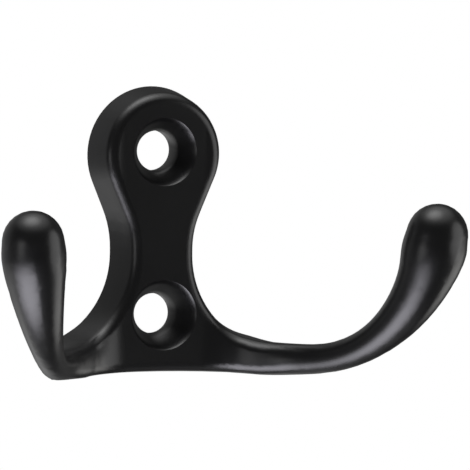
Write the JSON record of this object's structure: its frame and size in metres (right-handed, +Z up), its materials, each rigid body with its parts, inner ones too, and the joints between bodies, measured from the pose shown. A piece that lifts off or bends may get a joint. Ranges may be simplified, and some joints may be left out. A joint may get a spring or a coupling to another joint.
{
  "type": "double robe hook",
  "caption": "Cast robe hook: a keyhole back plate with countersunk screw holes, and mirrored prongs that sweep out, forward and up to rounded drop-shaped tips.",
  "frame": {"origin": "on the flat back face, midway between the two screw holes", "axes": "+Z up as it hangs on the wall, front toward -Y so that +Y points into the wall, +X along its width to the right seen from the front"},
  "size_m": [0.0732, 0.0379, 0.0433],
  "materials": {
    "body": "satin"
  },
  "bodies": {
    "root": {"double_hook": "body"}
  },
  "joints": []
}
